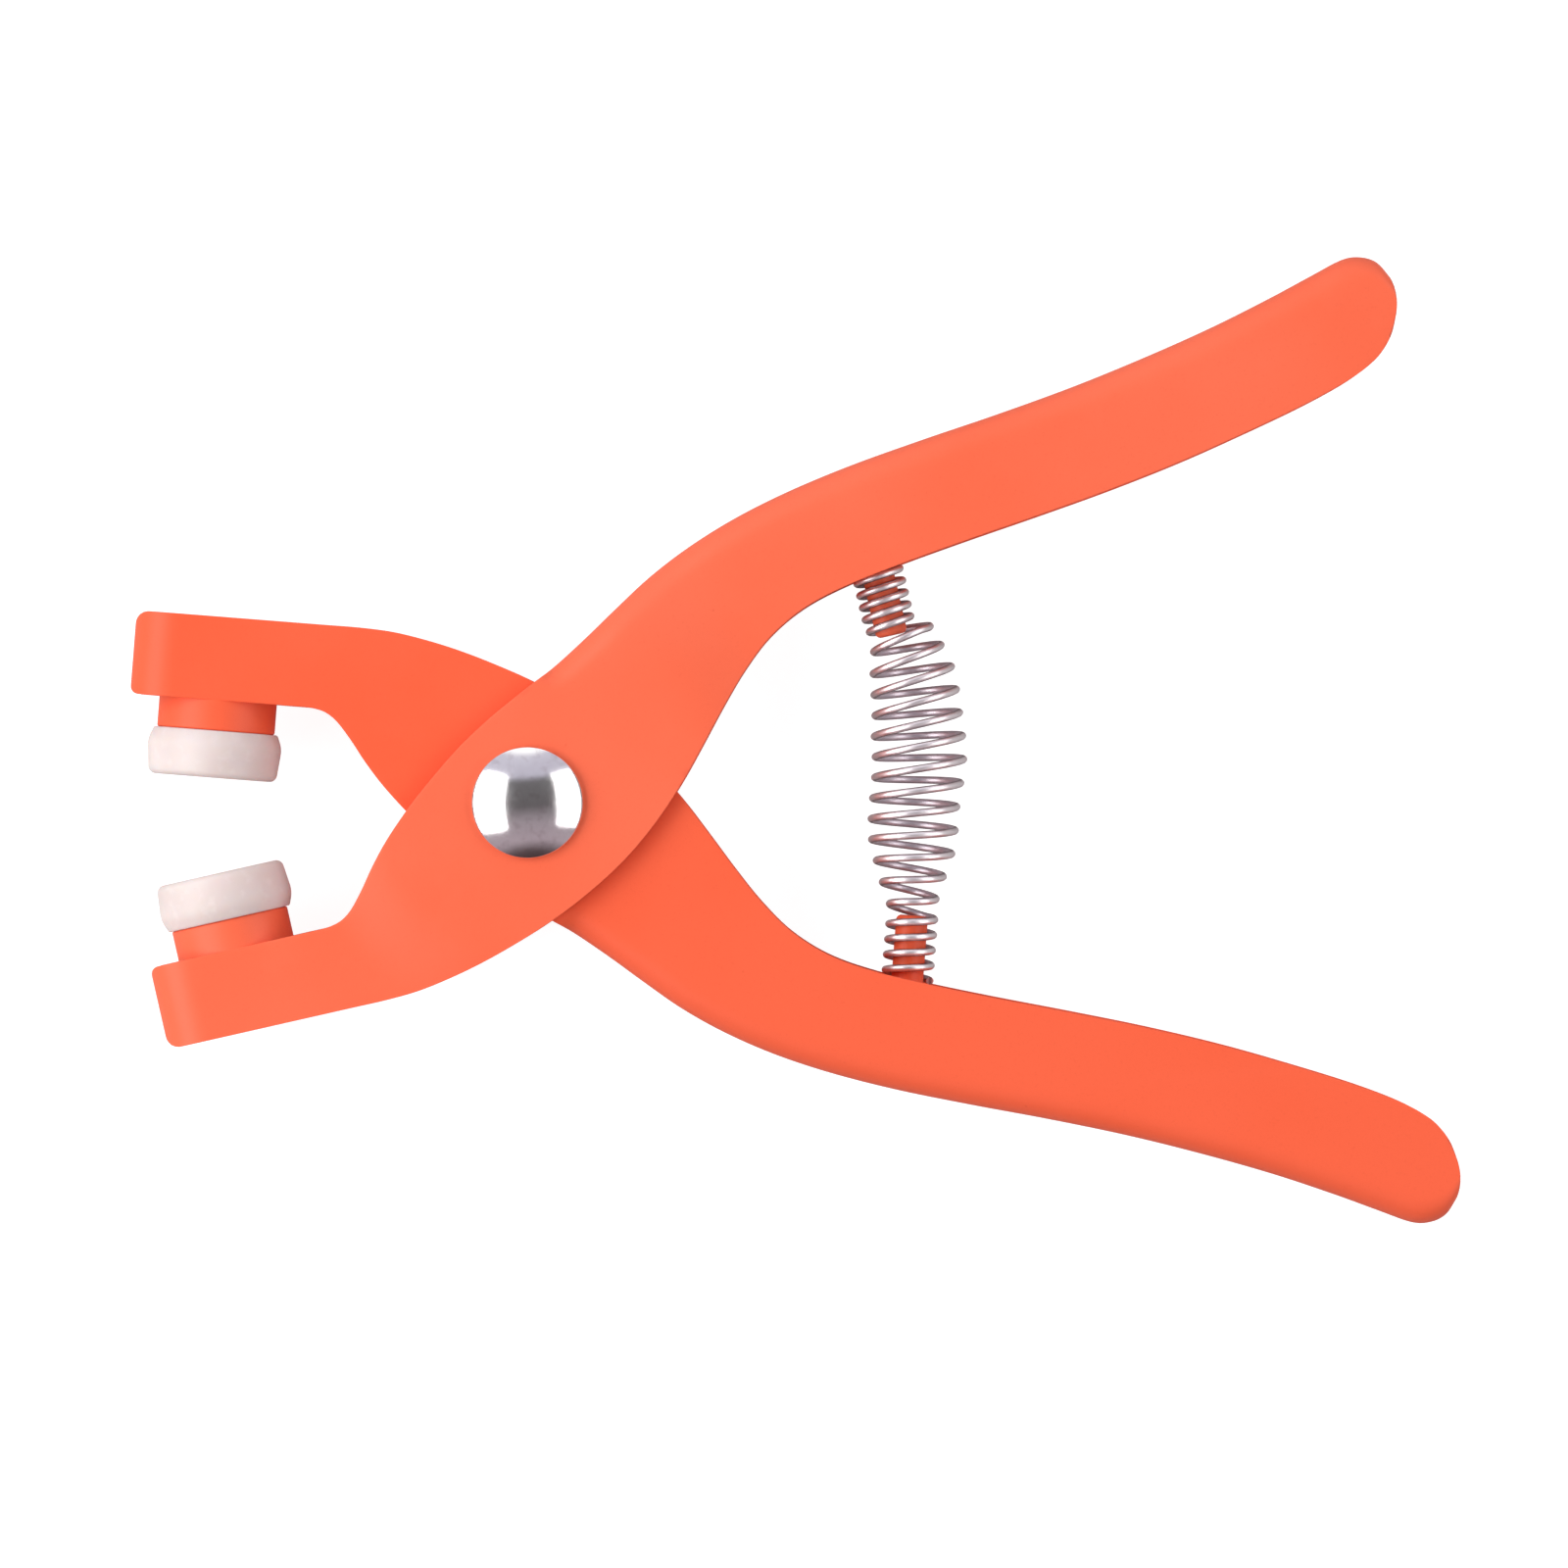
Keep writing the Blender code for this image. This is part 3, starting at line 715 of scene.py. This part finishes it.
def add_pivot(nickel, zinc):
    """The rivet is drawn up tight: its dome sits on the front lever and its tail on the washer."""
    head = MID_Z + SWELL_HALF
    back = MID_Z - SWELL_HALF
    tail_top = washer_low.z / MM - GAP
    top = rivet_high.z / MM
    rim = head + DOME_RIM
    ball = (DOME_R ** 2 + (top - rim) ** 2) / (2 * (top - rim))
    spread = math.asin(DOME_R / ball)
    corners = [(0, 0, 0), (GROOVE_R - GROOVE_DEPTH, 0, 0.1), (GROOVE_R, GROOVE_DEPTH, 0.1),
               (GROOVE_R + GROOVE_DEPTH, 0, 0.1), (TAIL_R, 0, 0.5), (TAIL_R, tail_top, 0.15),
               (SHANK_R, tail_top, 0), (SHANK_R, head, 0), (DOME_R, head, 0.12), (DOME_R, rim, 0.3)]
    for step in range(1, DOME_STEPS):
        angle = spread * (1 - step / DOME_STEPS)
        corners.append((ball * math.sin(angle), top - ball * (1 - math.cos(angle)), 0))
    corners.append((0, top, 0))
    rivet = add_turned("dome_rivet", corners, Matrix.Identity(4), nickel)
    hand_over(rivet, FRONT_BODY, "polished_nickel", "pivot_rivet")

    washer_r = washer_high.x / MM
    ring = ((SHANK_R, tail_top, 0.1), (washer_r, tail_top, 0.25), (washer_r, back, 0.25),
            (SHANK_R, back, 0.1))
    washer = add_turned("tail_washer", ring, Matrix.Identity(4), zinc, closed=True)
    hand_over(washer, FRONT_BODY, "plated_steel", "pivot_washer")

    spacer_r = spacer_high.x / MM
    reach = CHANNEL_HALF - SHEET
    tube = ((SHANK_R, MID_Z - reach, 0.1), (spacer_r, MID_Z - reach, 0.4),
            (spacer_r, MID_Z + reach, 0.4), (SHANK_R, MID_Z + reach, 0.1))
    spacer = add_turned("spacer_tube", tube, Matrix.Identity(4), zinc, closed=True)
    hand_over(spacer, FRONT_BODY, "plated_steel", "pivot_spacer")


# ---- dies and posts ----

def add_die_and_post(side, place, body, coat, nylon):
    """A post held between the jaw's walls, and the nylon die pressed on its spigot."""
    stand = on_lever(place, DIE_X, 0)
    spigot_end = DIE_HEIGHT - SPIGOT_LENGTH
    shoulder = JAW_BOTTOM + COLLAR_BURY
    post = ((0, spigot_end, 0), (SPIGOT_R, spigot_end, 0.4), (SPIGOT_R, DIE_HEIGHT, 0),
            (POST_R, DIE_HEIGHT, 0.25), (POST_R, shoulder, 0), (POST_SHANK_R, shoulder, 0),
            (POST_SHANK_R, POST_TOP, 0.6), (SPIGOT_R, POST_TOP, 0.2),
            (SPIGOT_R, POST_TOP - POST_CUP, 0.2), (0, POST_TOP - POST_CUP, 0))
    turned_post = add_turned(side + "_turned_post", post, stand, coat)
    hand_over(turned_post, body, "painted_steel", side + "_die_post")

    dimple = DIE_RECESS_DEPTH + DIE_DIMPLE_DEPTH
    die = ((0, dimple, 0), (DIE_DIMPLE_R, dimple, 0.3), (DIE_DIMPLE_R, DIE_RECESS_DEPTH, 0.15),
           (DIE_RECESS_R, DIE_RECESS_DEPTH, 0.2), (DIE_RECESS_R, 0, 0.25), (DIE_FACE_R, 0, 0.9),
           (DIE_FLARE_R, DIE_FLARE_AT, 3.2), (DIE_BASE_R, DIE_HEIGHT, 0.3), (SPIGOT_R, DIE_HEIGHT, 0),
           (SPIGOT_R, spigot_end, 0), (0, spigot_end, 0))
    nylon_die = add_turned(side + "_nylon_die", die, stand, nylon)
    hand_over(nylon_die, body, "white_nylon", side + "_die")


# ---- spring and pegs ----

def add_peg(side, place, body, coat):
    """The spring's peg, and the small plate welded between the handle's walls that carries it."""
    seat_x, seat_y = SEAT
    top = seat_y - PLATE_DROP
    bottom = top - PLATE_THICKNESS
    foot = (top + bottom) / 2
    tip = seat_y + PEG_LENGTH
    pin = ((0, foot, 0), (PEG_R, foot, 0), (PEG_R, tip, 0.65), (0, tip, 0))
    peg = add_turned(side + "_peg", pin, on_lever(place, seat_x, 0), coat, segments=PEG_SEGMENTS)
    hand_over(peg, body, "painted_steel", side + "_spring_peg")

    half_z = CHANNEL_HALF - SHEET
    corners = [place(seat_x + x, y, MID_Z + z) for x in (-PLATE_LENGTH / 2, PLATE_LENGTH / 2)
               for y in (bottom, top) for z in (-half_z, half_z)]
    faces = ((0, 1, 3, 2), (4, 6, 7, 5), (0, 4, 5, 1), (2, 3, 7, 6), (0, 2, 6, 4), (1, 5, 7, 3))
    plate = add_mesh(side + "_peg_plate", corners, faces, coat)
    face_outwards(plate)
    edge = plate.modifiers.new("Edge", "BEVEL")
    edge.width = EDGE_ROUND * MM
    edge.segments = ROUND_STEPS
    keep_shape(plate)
    weigh_normals(plate)
    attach(plate, body)


def between(table, share):
    """Reads a table of (share, value) points, easing from one value to the next."""
    for (start, low), (end, high) in zip(table, table[1:]):
        if share <= end:
            return low + (high - low) * eased((share - start) / (end - start))
    return table[-1][1]


def spring_axis(share):
    """The spring's centre line from the lower seat to the upper: straight on each peg, bowed between."""
    start = rear_place(*SEAT, MID_Z)
    up = rear_place(0, 1, 0)
    tip = start + up * PEG_LENGTH
    chord = -2 * tip.y
    share_on_peg = PEG_LENGTH / (2 * PEG_LENGTH + chord)
    if share < share_on_peg:
        return start + up * PEG_LENGTH * share / share_on_peg
    if share > 1 - share_on_peg:
        mirrored = spring_axis(1 - share)
        return Vector((mirrored.x, -mirrored.y, mirrored.z))
    part = (share - share_on_peg) / (1 - 2 * share_on_peg)
    bow = chord * SPRING_BOW * up.x * part * (1 - part)
    return Vector((tip.x + bow, tip.y + chord * part, MID_Z))


def coil_place(share, angle):
    """(point on the wire's centre line, direction away from the coil's axis), for a right-hand coil."""
    before = spring_axis(max(0.0, share - SHARE_NUDGE))
    along = spring_axis(min(1.0, share + SHARE_NUDGE)) - before
    along.normalize()
    across = Vector((along.y, -along.x, 0))
    outwards = across * math.cos(angle) - Vector((0, 0, 1)) * math.sin(angle)
    centre = spring_axis(share) + Vector((between(SPRING_LEAN, share), 0, 0))
    return centre + outwards * between(SPRING_RADII, share), outwards


def spring_steps():
    """(share of the length, angle) for each ring of the wire's mesh."""
    found = []
    turns_done = 0.0
    share_done = 0.0
    for turns, length in SPRING_TURNS:
        steps = round(turns * WIRE_STEPS_PER_TURN)
        for step in range(steps):
            part = step / steps
            found.append((share_done + length * part, 2 * math.pi * (turns_done + turns * part)))
        turns_done += turns
        share_done += length
    found.append((1.0, 2 * math.pi * turns_done))
    return found


def add_spring(wire):
    rings = [coil_place(share, angle) for share, angle in spring_steps()]
    points = []
    places = []
    run = 0.0
    for index, (centre, outwards) in enumerate(rings):
        before = rings[max(0, index - 1)][0]
        after = rings[min(len(rings) - 1, index + 1)][0]
        run += (centre - before).length
        along = (after - before).normalized()
        beside = along.cross(outwards).normalized()
        away = beside.cross(along)
        for side in range(WIRE_SIDES):
            turn = 2 * math.pi * side / WIRE_SIDES
            reach = (away * math.cos(turn) + beside * math.sin(turn)) * WIRE_R
            points.append(centre + reach)
            places.extend((WIRE_R * math.cos(turn), WIRE_R * math.sin(turn), run))
    faces = [tuple(range(WIRE_SIDES)), tuple(range(len(points) - WIRE_SIDES, len(points)))]
    for start in range(0, len(points) - WIRE_SIDES, WIRE_SIDES):
        for side in range(WIRE_SIDES):
            after = (side + 1) % WIRE_SIDES
            faces.append((start + side, start + after, start + WIRE_SIDES + after,
                          start + WIRE_SIDES + side))
    spring = add_mesh("barrel_spring", points, faces, wire)
    face_outwards(spring)
    spring.data.set_sharp_from_angle(angle=math.radians(WIRE_CREASE))
    spring.data.attributes.new("wire_place", "FLOAT_VECTOR", "POINT")
    spring.data.attributes["wire_place"].data.foreach_set("vector", places)

    start = rear_place(SEAT[0], SEAT[1] + BLEND_INSET, MID_Z) * MM
    end = front_place(SEAT[0], SEAT[1] + BLEND_INSET, MID_Z) * MM
    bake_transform(spring)
    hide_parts("return_spring")


# ---- studio ----

CAMERA_HEIGHT = 1.5
VIEW_WIDTH = 0.188
VIEW_TURN = -4.15              # degrees: the pliers lie a little turned in the view
SENSOR = 36.0
TABLE_HALF = 3.0
SOFTBOX_DISTANCE = 0.95


def add_floor():
    """A grey table that the lens sees as overexposed white, with faint contact shadows."""
    table = Finish("studio_table", Roughness=0.9, Specular_IOR_Level=0.1, Emission_Strength=1.0)
    fibres = table.noise(300.0, 4.0)
    in_view = table.node("ShaderNodeLightPath", output="Is Camera Ray")
    table.set(Base_Color=table.mix(fibres, (0.36, 0.36, 0.36, 1), (0.40, 0.40, 0.40, 1)),
              Emission_Color=table.mix(in_view, (0.08, 0.08, 0.08, 1), (0.90, 0.90, 0.90, 1)))
    mesh = bpy.data.meshes.new("floor")
    corners = [(x * TABLE_HALF, y * TABLE_HALF, 0) for x, y in ((-1, -1), (1, -1), (1, 1), (-1, 1))]
    mesh.from_pydata(corners, [], [(0, 1, 2, 3)])
    mesh.materials.append(table.material)
    floor = bpy.data.objects.new("floor", mesh)
    bpy.context.collection.objects.link(floor)
    floor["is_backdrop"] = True


def add_softbox(name, toward, along, across, radiance):
    """An area light that faces the pivot. Its long side, along, lies level; across is its other side."""
    light = bpy.data.lights.new(name, "AREA")
    light.shape = "RECTANGLE"
    light.size = along
    light.size_y = across
    light.energy = radiance * math.pi * along * across
    box = bpy.data.objects.new(name, light)
    away = Vector(toward).normalized()
    box.location = away * SOFTBOX_DISTANCE
    box.rotation_euler = away.to_track_quat("Z", "Y").to_euler()
    box.visible_camera = False
    bpy.context.collection.objects.link(box)


def add_world():
    """The studio round the pliers: a white wall and a grey one beyond, dark overhead and near the lens."""
    world = bpy.data.worlds.new("studio")
    bpy.context.scene.world = world
    world.use_nodes = True
    sky = Nodes(world.node_tree)
    direction = sky.node("ShaderNodeTexCoord", output="Generated")
    beyond = sky.node("ShaderNodeSeparateXYZ", None, {0: direction}, "Y") * 0.5 + 0.5
    colour = sky.ramp(beyond, (0.0, (0.05, 0.03, 0.03, 1)), (0.05, (0.10, 0.07, 0.075, 1)),
                      (0.12, (0.44, 0.36, 0.40, 1)), (0.30, (0.34, 0.29, 0.32, 1)),
                      (0.46, (0.13, 0.12, 0.125, 1)), (0.74, (0.16, 0.155, 0.16, 1)),
                      (0.78, (0.58, 0.56, 0.66, 1)), (0.94, (0.66, 0.64, 0.74, 1)),
                      (0.97, (1.3, 1.3, 1.3, 1)))
    sky.feed(world.node_tree.nodes["Background"].inputs["Color"], colour)


def add_camera():
    low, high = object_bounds()
    data = bpy.data.cameras.new("long_lens")
    data.sensor_width = SENSOR
    data.lens = SENSOR * CAMERA_HEIGHT / VIEW_WIDTH
    data.clip_end = 10
    camera = bpy.data.objects.new("long_lens", data)
    camera.location = ((low.x + high.x) / 2, (low.y + high.y) / 2, CAMERA_HEIGHT)
    camera.rotation_euler = (0, 0, math.radians(VIEW_TURN))
    bpy.context.collection.objects.link(camera)
    bpy.context.scene.camera = camera


def add_studio():
    add_floor()
    add_world()
    add_softbox("left_softbox", toward=(-0.79, 0.06, 0.62), along=1.3, across=0.76, radiance=3.75)
    add_softbox("right_softbox", toward=(0.81, 0.03, 0.59), along=1.2, across=0.58, radiance=2.25)
    add_camera()
    scene = bpy.context.scene
    scene.view_settings.view_transform = "Standard"
    scene.view_settings.look = "None"


def main():
    front_coat = powder_coat("front_orange_coat", (0.925, 0.142, 0.061, 1), (0.935, 0.160, 0.075, 1),
                             (0.76, 0.098, 0.044, 1))
    rear_coat = powder_coat("rear_orange_coat", (0.91, 0.114, 0.041, 1), (0.92, 0.127, 0.051, 1),
                            (0.73, 0.077, 0.029, 1))
    nylon = moulded_nylon()
    front = add_lever("front_pressing", swell_half, front_place, True, front_coat)
    hand_over(front, FRONT_BODY, "painted_steel", "front_lever")
    rear = add_lever("rear_pressing", plain_half, rear_place, False, rear_coat)
    hand_over(rear, REAR_BODY, "painted_steel", "rear_lever")
    add_pivot(polished_nickel(), zinc_plate())
    add_die_and_post("upper", rear_place, REAR_BODY, rear_coat, nylon)
    add_die_and_post("lower", front_place, FRONT_BODY, front_coat, nylon)
    add_peg("upper", front_place, FRONT_BODY, front_coat)
    add_peg("lower", rear_place, REAR_BODY, rear_coat)
    add_spring(drawn_wire())
    add_studio()


main()
